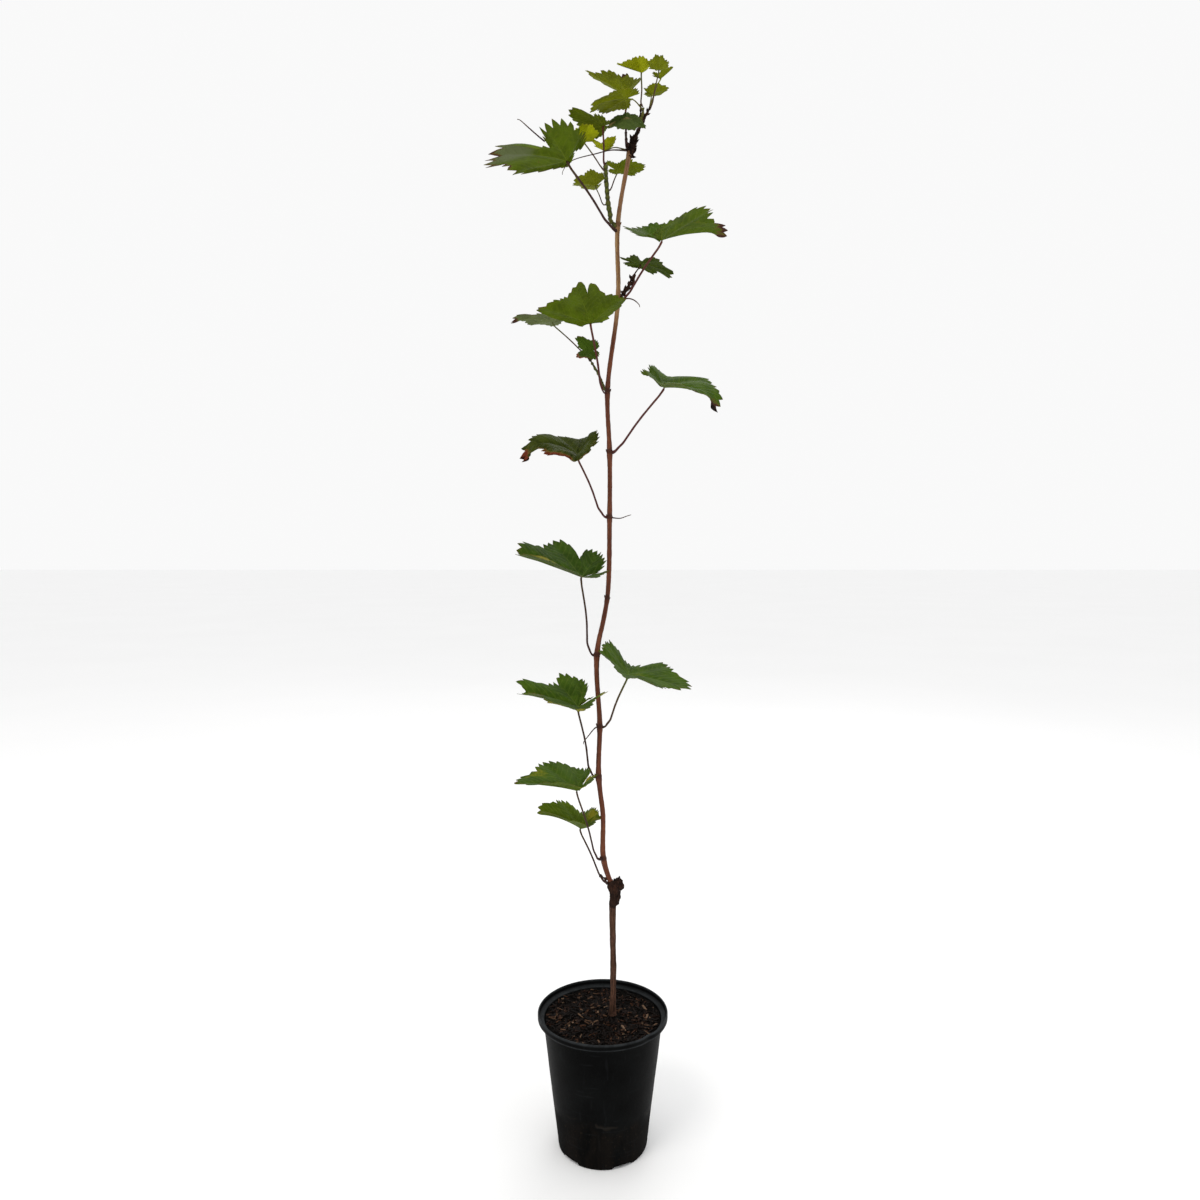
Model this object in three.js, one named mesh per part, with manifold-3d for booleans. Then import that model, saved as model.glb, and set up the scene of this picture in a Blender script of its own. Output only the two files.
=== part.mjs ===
// A young grapevine growing in a round nursery pot.
// Millimetres, Z up, X to the right, Y to the back. The origin is the centre of the pot's underside.
import * as THREE from 'three';
import { mergeVertices } from 'three/addons/utils/BufferGeometryUtils.js';
import Module from 'manifold-3d';

const wasm = await Module();
wasm.setup();

// ---------------------------------------------------------------- driving sizes

const gap = 0.35;                 // clear space kept between pieces that touch

const pot = {
  height: 153,
  baseRadius: 51.5,
  wallRadius: 69.6,               // outside of the wall just under the collar
  collarRadius: 76,
  collarBottom: 145.5,
  wall: 1.6,
  floorBottom: 3.5,               // the floor is raised between the feet and the centre pad
  floorTop: 5.5,
  padRadius: 14,
  feet: 5,
  notchAngle: 26,                 // degrees left open between two feet
  notchHeight: 3.5,
  firstNotch: -64,                // degrees from +X, the notch just right of the front foot
  drainRadius: 5,
  drainCircle: 38,
  facets: 30,
};

const soil = {
  edgeTop: 143.2,
  mound: 3.4,                     // rise of the middle above the edge
  roughness: 1.1,
};

const trunk = {
  foot: [11, 1, 146.9],
  flareRadius: 5,
  radius: 3.3,
  topRadius: 4.2,
};

// The old pruned head, where last year's wood was cut and the shoot grew out.
const head = {
  foot: [11.5, 1, 273],
  knuckle: [15, 1, 289],
  shootEnd: [8.5, 0, 304],
  spur: [18.5, 2, 299],
  spurSize: [5.2, 5.4, 7.6],
};

// The shoot changes direction a little at each node.
const stemCourse = [
  [8.5, 0, 304.4], [0.5, 0, 331], [0.5, -1, 380], [-5, -1, 427], [-3.5, 1, 485], [-7, 2, 569],
  [5.5, 2, 636], [8, 1, 731], [8, 0, 807], [5.5, -1, 878], [18, 0, 985], [17.5, 1, 1073],
  [31.5, 1, 1159],
];
const stem = {
  rootRadius: 2.9,
  tipRadius: 2.45,
  nodes: [331, 427, 485, 569, 731, 807, 878, 985, 1073, 1159],
  nodeSwelling: 0.8,
  nodeLength: 7,                  // how far a swelling fades out, up and down
  cuts: [427, 569, 807, 985],     // the long shoot is five limbs, one after another
};

const leafThickness = 0.9;        // half the thickness in the middle of a blade

// Radius of a blade for every 15 degrees round the stalk's joint, as a share of the midrib:
// middle lobe, upper side lobe, lower side lobe, base lobe and the open sinus at the stalk.
const lobeShare = [0.98, 0.94, 0.8, 0.78, 0.79, 0.7, 0.67, 0.69, 0.63, 0.55, 0.45, 0.29, 0.07];

// ---------------------------------------------------------------- finishes

const finish = {
  pot: { color: 0x17191b, roughness: 0.5, metalness: 0 },
  soil: { color: 0x1d1410, roughness: 0.95, metalness: 0 },
  oldWood: { color: 0x3a2419, roughness: 0.9, metalness: 0 },
  cane: { color: 0x7a4326, roughness: 0.6, metalness: 0 },
  shoot: { color: 0x55691f, roughness: 0.55, metalness: 0 },
  stalk: { color: 0x4d1f1b, roughness: 0.5, metalness: 0 },
  leaf: { color: 0x3f6118, roughness: 0.55, metalness: 0 },
  youngLeaf: { color: 0x93a01c, roughness: 0.5, metalness: 0 },
};

const plant = new THREE.Group();

function place(name, geometry, look) {
  const mesh = new THREE.Mesh(geometry, new THREE.MeshStandardMaterial(finish[look]));
  mesh.name = name;
  plant.add(mesh);
  return mesh;
}

// ---------------------------------------------------------------- solids

function welded(geometry) {
  const bare = geometry.clone();
  bare.deleteAttribute('normal');
  bare.deleteAttribute('uv');
  return mergeVertices(bare, 1e-3);
}

function toSolid(geometry) {
  const closed = welded(geometry);
  return new wasm.Manifold(new wasm.Mesh({
    numProp: 3,
    vertProperties: new Float32Array(closed.attributes.position.array),
    triVerts: new Uint32Array(closed.index.array),
  }));
}

function toGeometry(solid) {
  const mesh = solid.getMesh();
  const geometry = new THREE.BufferGeometry();
  geometry.setAttribute('position', new THREE.BufferAttribute(mesh.vertProperties, 3));
  geometry.setIndex(new THREE.BufferAttribute(mesh.triVerts, 1));
  return geometry;
}

// Moves every corner of a geometry by a function of its place.
function reshape(geometry, move) {
  const shaped = welded(geometry);
  const corners = shaped.attributes.position;
  const corner = new THREE.Vector3();
  for (let i = 0; i < corners.count; i += 1) {
    corner.fromBufferAttribute(corners, i);
    move(corner);
    corners.setXYZ(i, corner.x, corner.y, corner.z);
  }
  return shaped;
}

function vector(numbers) {
  return new THREE.Vector3(...numbers);
}

function smoothCourse(points) {
  return new THREE.CatmullRomCurve3(points.map(vector), false, 'centripetal');
}

// A limb is a round bar along a course, whose radius follows radiusAt(share of the length, point).
function limb(course, radiusAt, sides, steps) {
  const section = new THREE.Shape();
  for (let i = 0; i < sides; i += 1) {
    const turn = (i / sides) * 2 * Math.PI;
    const corner = [Math.cos(turn), Math.sin(turn)];
    if (i === 0) section.moveTo(...corner);
    else section.lineTo(...corner);
  }
  section.closePath();
  const bar = new THREE.ExtrudeGeometry(section, { steps, extrudePath: course, bevelEnabled: false });
  const rings = course.getSpacedPoints(steps);
  return reshape(bar, (corner) => {
    let nearest = 0;
    rings.forEach((ring, i) => {
      if (ring.distanceTo(corner) < rings[nearest].distanceTo(corner)) nearest = i;
    });
    const centre = rings[nearest];
    corner.sub(centre).multiplyScalar(radiusAt(nearest / steps, centre)).add(centre);
  });
}

// ---------------------------------------------------------------- pot and soil

// Outer radius of the tapering wall at a height.
function wallRadius(z) {
  return pot.baseRadius + (pot.wallRadius - pot.baseRadius) * (z / pot.collarBottom);
}

function lathe(profile, facets) {
  const points = profile.map(([radius, z]) => new THREE.Vector2(radius, z));
  const turned = new THREE.LatheGeometry(points, facets);
  turned.rotateX(Math.PI / 2);
  return turned;
}

function potBody() {
  const inner = (z) => wallRadius(z) - pot.wall;
  const body = toSolid(lathe([
    [0, 0],
    [pot.padRadius, 0],
    [pot.padRadius + 1, pot.floorBottom],
    [pot.baseRadius - 7, pot.floorBottom],
    [pot.baseRadius - 6, 0],
    [pot.baseRadius - 1.5, 0],
    [wallRadius(3), 3],
    [wallRadius(pot.collarBottom), pot.collarBottom],
    [pot.collarRadius - 1, pot.collarBottom + 0.5],
    [pot.collarRadius, pot.collarBottom + 2.5],
    [pot.collarRadius, pot.height],
    [pot.collarRadius - 1.7, pot.height],
    [inner(pot.collarBottom), pot.collarBottom - 1.5],
    [inner(pot.floorTop), pot.floorTop],
    [0, pot.floorTop],
  ], pot.facets));
  const pitch = 360 / pot.feet;
  const degree = Math.PI / 180;
  let cut = body;
  for (let i = 0; i < pot.feet; i += 1) {
    const turn = (pot.firstNotch + i * pitch) * degree;
    const notchWidth = 2 * pot.baseRadius * Math.sin((pot.notchAngle / 2) * degree);
    const notch = new THREE.BoxGeometry(16, notchWidth, 2 * pot.notchHeight);
    notch.translate(pot.baseRadius - 1, 0, 0);
    notch.rotateZ(turn);
    const drain = new THREE.CylinderGeometry(pot.drainRadius, pot.drainRadius, 10, 12);
    drain.rotateX(Math.PI / 2);
    drain.translate(pot.drainCircle, 0, pot.floorTop);
    drain.rotateZ(turn);
    cut = cut.subtract(toSolid(notch)).subtract(toSolid(drain));
  }
  return toGeometry(cut);
}

function soilBody() {
  const edge = pot.floorTop + 2 + gap;
  const rings = [0.25, 0.5, 0.75, 0.92];
  const topRadius = wallRadius(soil.edgeTop - 1) - pot.wall - gap;
  const crown = (share) => soil.edgeTop + soil.mound * (1 - share * share);
  const body = lathe([
    [0, pot.floorTop + gap],
    [wallRadius(pot.floorTop) - pot.wall - 3, pot.floorTop + gap],
    [wallRadius(edge) - pot.wall - gap - 0.4, edge],
    [topRadius, soil.edgeTop],
    ...rings.reverse().map((share) => [topRadius * share, crown(share)]),
    [0, crown(0)],
  ], 28);
  const foot = vector(trunk.foot);
  const clear = 2 * trunk.flareRadius;
  return reshape(body, (corner) => {
    if (corner.z < soil.edgeTop + 0.1) return;
    const away = Math.hypot(corner.x - foot.x, corner.y - foot.y) / clear;
    const free = Math.min(Math.max(away - 1, 0), 1);
    const short = Math.sin(corner.x * 0.21) * Math.cos(corner.y * 0.17);
    const long = Math.sin(corner.x * 0.09 - corner.y * 0.13);
    corner.z += (free * soil.roughness * (short + long)) / 2;
    corner.z = Math.min(corner.z, foot.z - gap);
  });
}

place('pot', potBody(), 'pot');
place('soil', soilBody(), 'soil');

// ---------------------------------------------------------------- trunk, head and shoot

const trunkCourse = smoothCourse([trunk.foot, [12.5, 1, 190], [12, 0, 235], [11.5, 1, head.foot[2] - gap]]);

function trunkRadius(share) {
  const flare = (trunk.flareRadius - trunk.radius) * Math.exp(-share * 14);
  return trunk.radius + flare + (trunk.topRadius - trunk.radius) * share ** 3;
}

function trunkBody() {
  const bar = limb(trunkCourse, trunkRadius, 10, 12);
  return reshape(bar, (corner) => {
    if (corner.z < trunk.foot[2] + 2) corner.z = trunk.foot[2];
  });
}

place('trunk', trunkBody(), 'oldWood');

function headBody() {
  const course = smoothCourse([head.foot, head.knuckle, head.shootEnd]);
  const thickness = (share) => 4.2 + 3 * Math.sin(share * Math.PI) - 0.6 * share;
  const arm = toSolid(reshape(limb(course, thickness, 10, 8), (corner) => {
    corner.z = Math.min(Math.max(corner.z, head.foot[2]), head.shootEnd[2]);
  }));
  const spur = new THREE.IcosahedronGeometry(1, 2);
  spur.scale(...head.spurSize);
  spur.translate(...head.spur);
  const lumpy = reshape(spur, (corner) => {
    const lump = 0.7 * Math.sin(corner.x * 1.3) * Math.sin(corner.z * 0.9 + corner.y);
    corner.x += lump;
    corner.z += lump;
  });
  return toGeometry(arm.add(toSolid(lumpy)));
}

place('head', headBody(), 'oldWood');

const shootCourse = smoothCourse(stemCourse);
const shootFoot = stemCourse[0][2];
const shootTop = stemCourse[stemCourse.length - 1][2];

// The point on a course at a height.
function courseAt(course, z) {
  let low = 0;
  let high = 1;
  for (let i = 0; i < 40; i += 1) {
    const middle = (low + high) / 2;
    if (course.getPoint(middle).z < z) low = middle;
    else high = middle;
  }
  return course.getPoint(low);
}

function stemRadius(z) {
  const share = (z - shootFoot) / (shootTop - shootFoot);
  const plain = stem.rootRadius + (stem.tipRadius - stem.rootRadius) * share;
  const swelling = stem.nodes.map((node) => Math.exp(-(((z - node) / stem.nodeLength) ** 2)));
  return plain + stem.nodeSwelling * Math.max(...swelling);
}

function stemPieces() {
  const ends = [shootFoot, ...stem.cuts, shootTop];
  for (let i = 0; i + 1 < ends.length; i += 1) {
    const from = ends[i] + gap / 2;
    const to = ends[i + 1] - gap / 2;
    const count = Math.ceil((to - from) / 22);
    const points = [];
    for (let j = 0; j <= count; j += 1) {
      points.push(courseAt(shootCourse, from + ((to - from) * j) / count).toArray());
    }
    const steps = Math.ceil((to - from) / 12);
    const piece = limb(smoothCourse(points), (share, centre) => stemRadius(centre.z), 8, steps);
    place(`stem_${i + 1}`, reshape(piece, (corner) => {
      corner.z = Math.min(Math.max(corner.z, from), to);
    }), 'cane');
  }
}

stemPieces();

// ---------------------------------------------------------------- side shoots and knots

const sideShoots = {
  low_axil_shoot: { points: [[0, 4, 886], [-5, 5, 899], [-15, 6, 916]], radius: [1.7, 1.3] },
  right_spur: { points: [[23.5, 2, 993], [28, 0, 997], [32, -2, 1004], [34, -3, 1010]], radius: [2.7, 1.5] },
  upper_side_shoot: {
    points: [[10.5, 0, 1078], [7, -2, 1092], [4.5, -3, 1118], [3.6, -3, 1137]], radius: [2.6, 2],
  },
  top_knot: { points: [[31.8, 1, 1160], [34, 1, 1167], [38, 0, 1175]], radius: [4.6, 3.4] },
  top_shoot: {
    points: [[39.5, -1, 1178.5], [43, -2, 1186], [50, -4, 1199], [55, -6, 1206]],
    radius: [2.3, 1.3],
  },
  top_green_shoot: { points: [[43.5, -6.5, 1192], [46.5, -7.5, 1199], [47, -8, 1206]], radius: [1.6, 1.3] },
};

for (const [name, { points, radius }] of Object.entries(sideShoots)) {
  const thickness = (share) => radius[0] + (radius[1] - radius[0]) * share;
  const look = ['upper_side_shoot', 'top_green_shoot'].includes(name) ? 'shoot' : 'oldWood';
  place(name, limb(smoothCourse(points), thickness, 8, 5), look);
}

// ---------------------------------------------------------------- leaves

// joint: where the stalk meets the blade. midrib: from the joint to the tip of the middle lobe.
// wings: degrees that the left and right halves rise, looking from the joint to the tip.
// heel: degrees that the base lobes rise behind the joint.
// droop: degrees that the midrib bends down over its length.
// breadth, base: the width and the size of the base lobes, as shares of the usual ones.
// sinus: least radius behind the stalk, where the base lobes meet or overlap.
// margin: lobes (+) and bays (-) of this leaf: degrees from its tip, width, share of the radius.
// root: where the stalk leaves the vine. A leaf with no root sits close against its shoot.
const leaves = [
  {
    name: 'leaf_01', root: [1.6, -3, 305], stalk: 1.1, joint: [-26.5, 17, 360],
    midrib: [-51, -10, 22], wings: [16, 26], heel: 32, droop: 20, breadth: 0.92, base: 0.85,
    sinus: 0.5, margin: [[-75, 10, -0.08], [-150, 25, 0.1], [150, 25, 0.1]],
  },
  {
    name: 'leaf_02', root: [-4.8, -5, 331], stalk: 1.1, joint: [-29.3, -33, 418.5],
    midrib: [-72, -8, 9], wings: [17, 13], heel: 40, droop: 18, breadth: 0.95, base: 0.85,
    margin: [[-158, 14, -0.5], [-84, 12, 0.34]],
  },
  {
    name: 'leaf_03', root: [-10, -1, 427], stalk: 1.2, joint: [-29, 0, 508],
    midrib: [-71, -5, 19], wings: [5, 29], heel: 27, droop: 10, breadth: 0.95, base: 0.9,
    margin: [[-132, 22, -0.65], [-108, 10, -0.15], [152, 18, 0.5], [-48, 10, -0.2], [-14, 9, 0.2]],
  },
  {
    name: 'leaf_04', root: [1.6, 0, 485], stalk: 1.2, joint: [30, -6.8, 547],
    midrib: [71, -9, -19], wings: [12, -1], heel: 44, droop: 20, breadth: 0.95, base: 1.42,
    sinus: 0.42, margin: [[100, 24, -0.42], [62, 7, 0.15], [-112, 16, -0.35], [-42, 12, 0.12]],
  },
  {
    name: 'leaf_05', root: [-12, 2, 569], stalk: 1.2, joint: [-25, 0, 660],
    midrib: [-78, -8, 26], wings: [2, 34], heel: 8, droop: 8, breadth: 0.95, base: 0.85,
    margin: [[-94, 13, 0.27], [-58, 9, 0.08], [-160, 14, -0.6]],
  },
  {
    name: 'leaf_06', root: [3, 0, 731], stalk: 1.2, joint: [-30, -4, 804],
    midrib: [-73, -8, 4], wings: [-14, 34], heel: 44, droop: 48, breadth: 0.9, base: 1,
    margin: [[-62, 16, -0.28], [-92, 9, 0.25]],
  },
  {
    name: 'leaf_07', root: [12.8, -1, 807], stalk: 1.3, joint: [70, -22, 878],
    midrib: [68, -13, -24], wings: [28, -6], heel: 45, droop: 40, breadth: 0.95, base: 1,
    margin: [[58, 10, 0.2], [30, 10, 0.1]],
  },
  {
    name: 'leaf_08', root: [1.6, -4, 876], stalk: 1.3, joint: [-14, -24, 951],
    midrib: [-16, -73, 24], wings: [4, -8], heel: 60, droop: 15, breadth: 0.88, base: 0.6,
    margin: [[-18, 11, -0.22], [-57, 9, 0.28], [-93, 19, -0.7], [89, 15, -0.7]],
  },
  {
    name: 'leaf_09', root: [-16, 6, 918], stalk: 0.8, joint: [-59, 6, 960],
    midrib: [-50, -4, 1], wings: [0, 0], heel: 20, droop: 35, breadth: 0.8, base: 1,
  },
  {
    name: 'leaf_10', joint: [-13, 1, 925],
    midrib: [-24, -4, 1], wings: [-45, 60], heel: 10, droop: 10, breadth: 1, base: 1,
    margin: [[0, 18, -0.5], [-50, 13, 0.35], [40, 13, 0.55]],
  },
  {
    name: 'leaf_11', root: [22.8, -4, 984], stalk: 1.3, joint: [67, -28, 1045],
    midrib: [81, 26, 12], wings: [36, 10], heel: 3, droop: 35, breadth: 0.95, base: 0.75,
    margin: [[-125, 26, -0.42], [-158, 18, -0.5], [55, 20, -0.5], [118, 12, 0.3], [155, 14, -0.4]],
  },
  {
    name: 'leaf_12', root: [34.5, -3, 1012], stalk: 0.9, joint: [45, 12, 1030.5],
    midrib: [38, 2, -14], wings: [-5, 10], heel: 10, droop: 30, breadth: 0.8, base: 1,
    sinus: 0.5,
    margin: [[-88, 12, -0.65], [105, 24, -0.75], [75, 12, -0.3], [-160, 14, 0.3], [35, 10, -0.18]],
  },
  {
    name: 'leaf_13', root: [13.4, -4, 1067], stalk: 1.4, joint: [-41, -18, 1140],
    midrib: [-87, -31, -9], wings: [13, 3], heel: 52, droop: 20, breadth: 1, base: 0.5,
    margin: [[31, 10, -0.45], [54, 12, -0.15], [-90, 22, -0.75], [-25, 10, 0.08]],
  },
  {
    name: 'leaf_14', root: [1, -4, 1136], stalk: 0.8, joint: [-22, -14, 1164],
    midrib: [6, -20, 12], wings: [12, 12], heel: 30, droop: 20, breadth: 1.1, base: 1,
    margin: [[75, 20, -0.3], [-75, 30, -0.35]],
  },
  {
    name: 'leaf_15', joint: [2, 10, 1164],
    midrib: [-2, -14, 6], wings: [35, 35], heel: 30, droop: 10, breadth: 1.5, base: 1,
    margin: [[-55, 12, 0.5], [-18, 10, -0.4], [38, 14, 0.3], [115, 25, -0.4]],
  },
  {
    name: 'leaf_16', root: [1.2, 1, 1097], stalk: 0.7, joint: [-8, 13.5, 1124],
    midrib: [-27, -5, 2], wings: [24, 6], heel: 30, droop: 15, breadth: 1.2, base: 0.8,
  },
  {
    name: 'leaf_17', root: [8.4, 0, 1114], stalk: 0.8, joint: [18, 20, 1146],
    midrib: [34, 0, 3], wings: [58, -50], heel: 10, droop: 10, breadth: 0.9, base: 1,
    margin: [[85, 28, -0.45], [-95, 28, -0.5]],
  },
  {
    name: 'leaf_18', root: [3.4, -3.2, 1139], stalk: 1.1, joint: [1, -8, 1185],
    midrib: [-44, -12, 14], wings: [-4, -20], heel: 20, droop: 20, breadth: 0.8, base: 0.6,
    margin: [[32, 24, -0.48], [58, 12, -0.3], [85, 20, -0.45], [-125, 22, -0.4], [-25, 10, 0.1]],
  },
  {
    name: 'leaf_19', root: [27, -4, 1168], stalk: 0.9, joint: [27, -27, 1186.5],
    midrib: [-1, -15, -22], wings: [-20, -20], heel: 60, droop: 30, breadth: 1.3, base: 0.8,
    sinus: 0.4,
  },
  {
    name: 'leaf_20', joint: [26, -34, 1204],
    midrib: [-40, -9, -15], wings: [4, -4], heel: 10, droop: 20, breadth: 1, base: 0.75,
    margin: [[60, 20, -0.3], [-142, 14, -0.5]],
  },
  {
    name: 'leaf_21', root: [28, 5, 1166], stalk: 1.2, joint: [28, 15, 1233.5],
    midrib: [-50, -12, 22], wings: [5, 22], heel: 35, droop: 5, breadth: 0.9, base: 0.74,
    margin: [[55, 14, -0.38], [18, 7, -0.15]],
  },
  {
    name: 'leaf_22', joint: [57, 10, 1231],
    midrib: [22, -2, 6], wings: [8, 30], heel: 20, droop: 10, breadth: 0.9, base: 1,
    margin: [[-115, 26, -0.5], [-62, 12, -0.15], [90, 20, -0.3]],
  },
  {
    name: 'leaf_23', joint: [68.5, 9, 1249],
    midrib: [16, 0, 13], wings: [48, 48], heel: 20, droop: 5, breadth: 0.55, base: 1,
  },
  {
    name: 'leaf_24', root: [56, -6, 1208], stalk: 0.8, joint: [64.5, -20, 1244],
    midrib: [-1, -26, 2], wings: [10, 10], heel: 25, droop: 10, breadth: 0.66, base: 1,
  },
  {
    name: 'leaf_25', root: [47.5, -8, 1207.5], stalk: 0.9, joint: [45, -6.5, 1248],
    midrib: [-29, -20, -2], wings: [13, 30], heel: 35, droop: 10, breadth: 0.82, base: 1,
  },
];

const youngFrom = 14;             // leaves from this number up are the pale young ones of the tip

function radians(degrees) {
  return (degrees * Math.PI) / 180;
}

// The surface of a blade: gives the point and the upward normal for flat leaf sizes, where
// along runs from the joint to the tip and aside to the left of it.
function bladeSurface({ joint, midrib, wings, heel, droop }, number) {
  const chord = vector(midrib);
  const bend = radians(droop);
  const length = (chord.length() * (bend / 2)) / Math.sin(bend / 2);
  const curve = bend / length;
  const forward = chord.clone().normalize();
  const left = new THREE.Vector3(0, 0, 1).cross(forward).normalize();
  const up = forward.clone().cross(left);
  const backward = new THREE.Vector3(-chord.x, -chord.y, 0).normalize();
  backward.multiplyScalar(Math.cos(radians(heel))).add(new THREE.Vector3(0, 0, Math.sin(radians(heel))));
  forward.applyAxisAngle(left, -bend / 2);
  up.applyAxisAngle(left, -bend / 2);
  const at = (along, aside) => {
    const turn = curve * Math.max(along, 0);
    const lift = radians(aside > 0 ? wings[0] : wings[1]);
    const surfaceUp = up.clone().multiplyScalar(Math.cos(turn)).addScaledVector(forward, Math.sin(turn));
    const ripple = 0.025 * Math.sin((3 * along + 2 * aside) / length + number) * Math.hypot(along, aside);
    return vector(joint)
      .addScaledVector(forward, Math.sin(turn) / curve)
      .addScaledVector(up, (Math.cos(turn) - 1) / curve)
      .addScaledVector(backward, Math.max(-along, 0))
      .addScaledVector(left, aside * Math.cos(lift))
      .addScaledVector(surfaceUp, Math.abs(aside) * Math.sin(lift) + ripple);
  };
  const normal = (along, aside) => {
    const step = 0.02 * length;
    const here = at(along, aside);
    const ahead = at(along + step, aside).sub(here);
    const across = at(along, aside + step).sub(at(along, aside - step));
    return ahead.cross(across).normalize();
  };
  return { at, normal, length };
}

function marginShare({ margin = [] }, turn) {
  const away = (at) => ((turn - at + 540) % 360) - 180;
  return margin.reduce((sum, [at, width, size]) => sum + size * Math.exp(-((away(at) / width) ** 2)), 1);
}

// Splits the four-sided faces just below a ball's equator along the other diagonal, so that a thin
// blade folds along the same lines above and below and its two sides never cross.
function foldAlike(ball, turns) {
  const faces = ball.index;
  const first = 3 * turns * 3;
  for (let i = first; i < first + 6 * turns; i += 6) {
    const [topRight, topLeft, lowRight] = [0, 1, 2].map((step) => faces.getX(i + step));
    const lowLeft = faces.getX(i + 4);
    [topRight, topLeft, lowLeft, topRight, lowLeft, lowRight].forEach((corner, step) => {
      faces.setX(i + step, corner);
    });
  }
}

// A blade is a flattened ball: its poles lie on the joint, above and below, and its equator is
// the margin, drawn out into the lobes.
function bladeBody(leaf, number) {
  const surface = bladeSurface(leaf, number);
  const turns = 2 * (lobeShare.length - 1);
  const ball = new THREE.SphereGeometry(1, turns, 4);
  foldAlike(ball, turns);
  ball.rotateX(Math.PI / 2);
  return reshape(ball, (corner) => {
    const height = corner.z;
    const ring = Math.hypot(corner.x, corner.y);
    const turn = ring < 0.01 ? 0 : Math.atan2(corner.y, corner.x);
    const spoke = Math.round((Math.abs(turn) / Math.PI) * (turns / 2));
    const behind = Math.min(Math.max(spoke / (turns / 2) - 0.4, 0) / 0.2, 1);
    const unlike = spoke === 0 ? 1 : 1 + 0.07 * Math.sin(2.3 * turn + 1.7 * number);
    const share = Math.max(lobeShare[spoke], leaf.sinus ?? 0) * (1 + (leaf.base - 1) * behind);
    const reach = surface.length * share * unlike * marginShare(leaf, (turn * 180) / Math.PI);
    const out = ring < 0.01 ? 0 : reach * (ring > 0.9 ? 1 : 0.55);
    const along = out * Math.cos(turn);
    const aside = out * Math.sin(turn) * leaf.breadth;
    corner.copy(surface.at(along, aside));
    corner.addScaledVector(surface.normal(along, aside), height * leafThickness);
  });
}

// A stalk leaves the vine level, turns up at an elbow and runs to the underside of its blade.
function stalkBody(leaf, number) {
  const root = vector(leaf.root);
  const joint = vector(leaf.joint);
  const below = leafThickness + gap + leaf.stalk;
  const end = joint.clone().addScaledVector(bladeSurface(leaf, number).normal(0, 0), -below);
  const way = end.clone().sub(root);
  const level = new THREE.Vector3(way.x, way.y, 0).normalize();
  const elbow = root.clone().addScaledVector(level, 3.5 * leaf.stalk).add(new THREE.Vector3(0, 0, 2));
  const middle = elbow.clone().lerp(end, 0.5).addScaledVector(level, -0.02 * way.length());
  const thickness = (share) => leaf.stalk * (1 + 0.35 * Math.exp(-share * 12));
  return limb(smoothCourse([root, elbow, middle, end].map((p) => p.toArray())), thickness, 6, 7);
}

leaves.forEach((leaf, i) => {
  place(leaf.name, bladeBody(leaf, i + 1), i + 1 >= youngFrom ? 'youngLeaf' : 'leaf');
  if (leaf.root) place(leaf.name.replace('leaf', 'stalk'), stalkBody(leaf, i + 1), 'stalk');
});

export default plant;
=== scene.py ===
import math
import random

import bmesh
import bpy
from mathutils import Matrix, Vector, noise
from mathutils.bvhtree import BVHTree


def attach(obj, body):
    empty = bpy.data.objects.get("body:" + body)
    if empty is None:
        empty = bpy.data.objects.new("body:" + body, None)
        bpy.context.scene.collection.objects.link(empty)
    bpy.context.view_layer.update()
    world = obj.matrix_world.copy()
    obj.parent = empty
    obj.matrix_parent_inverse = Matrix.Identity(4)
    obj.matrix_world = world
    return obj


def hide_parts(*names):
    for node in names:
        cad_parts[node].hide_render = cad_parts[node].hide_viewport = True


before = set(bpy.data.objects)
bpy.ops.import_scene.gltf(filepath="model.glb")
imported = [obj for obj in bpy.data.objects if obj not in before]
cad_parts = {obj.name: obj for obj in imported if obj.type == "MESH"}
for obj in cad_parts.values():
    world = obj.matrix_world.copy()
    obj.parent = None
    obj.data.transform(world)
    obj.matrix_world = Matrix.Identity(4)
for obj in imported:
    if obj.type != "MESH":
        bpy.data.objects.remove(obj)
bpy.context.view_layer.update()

MM = 0.001

CAMERA_PLACE = (0, -1.044, 0.692)         # metres; it looks level, towards +Y
CAMERA_LENS = 26.72                       # millimetres, on a 36 mm wide sensor
CAMERA_SHIFT = (-0.0023, -0.0417)


# ---------------------------------------------------------------- camera and lights

def add_camera():
    data = bpy.data.cameras.new("camera")
    data.lens = CAMERA_LENS
    data.sensor_width = 36
    data.shift_x, data.shift_y = CAMERA_SHIFT
    camera = bpy.data.objects.new("camera", data)
    camera.location = CAMERA_PLACE
    camera.rotation_euler = (math.radians(90), 0, 0)
    bpy.context.scene.collection.objects.link(camera)
    bpy.context.scene.camera = camera


def add_light(name, place, aim, size, power, colour=(1, 1, 1)):
    data = bpy.data.lights.new(name, "AREA")
    data.shape = "DISK"
    data.size = size
    data.energy = power
    data.color = colour
    light = bpy.data.objects.new(name, data)
    light.location = place
    light.rotation_euler = (Vector(aim) - Vector(place)).to_track_quat("-Z", "Y").to_euler()
    bpy.context.scene.collection.objects.link(light)


add_camera()
add_light("key light", (-1.2, -1.6, 2.9), (0, 0, 0.7), 1.3, 26, (1, 0.98, 0.94))
add_light("fill light", (2.2, -1.4, 1.2), (0, 0, 0.6), 2.0, 6, (0.95, 0.98, 1))
add_light("back light", (0.6, 2.0, 2.6), (0, 0, 0.9), 1.6, 12)


# ---------------------------------------------------------------- small tools

def clamp(value, low=0.0, high=1.0):
    return max(low, min(high, value))


def smooth(low, high, value):
    share = clamp((value - low) / (high - low))
    return share * share * (3 - 2 * share)


def hump(value, centre, width):
    return math.exp(-(((value - centre) / width) ** 2))


def linear(*rgb):
    """A colour as painters name it, 0 to 255, in the shader's own light values."""
    return tuple((c / 255 / 12.92) if c <= 10 else ((c / 255 + 0.055) / 1.055) ** 2.4 for c in rgb) + (1,)


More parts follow.
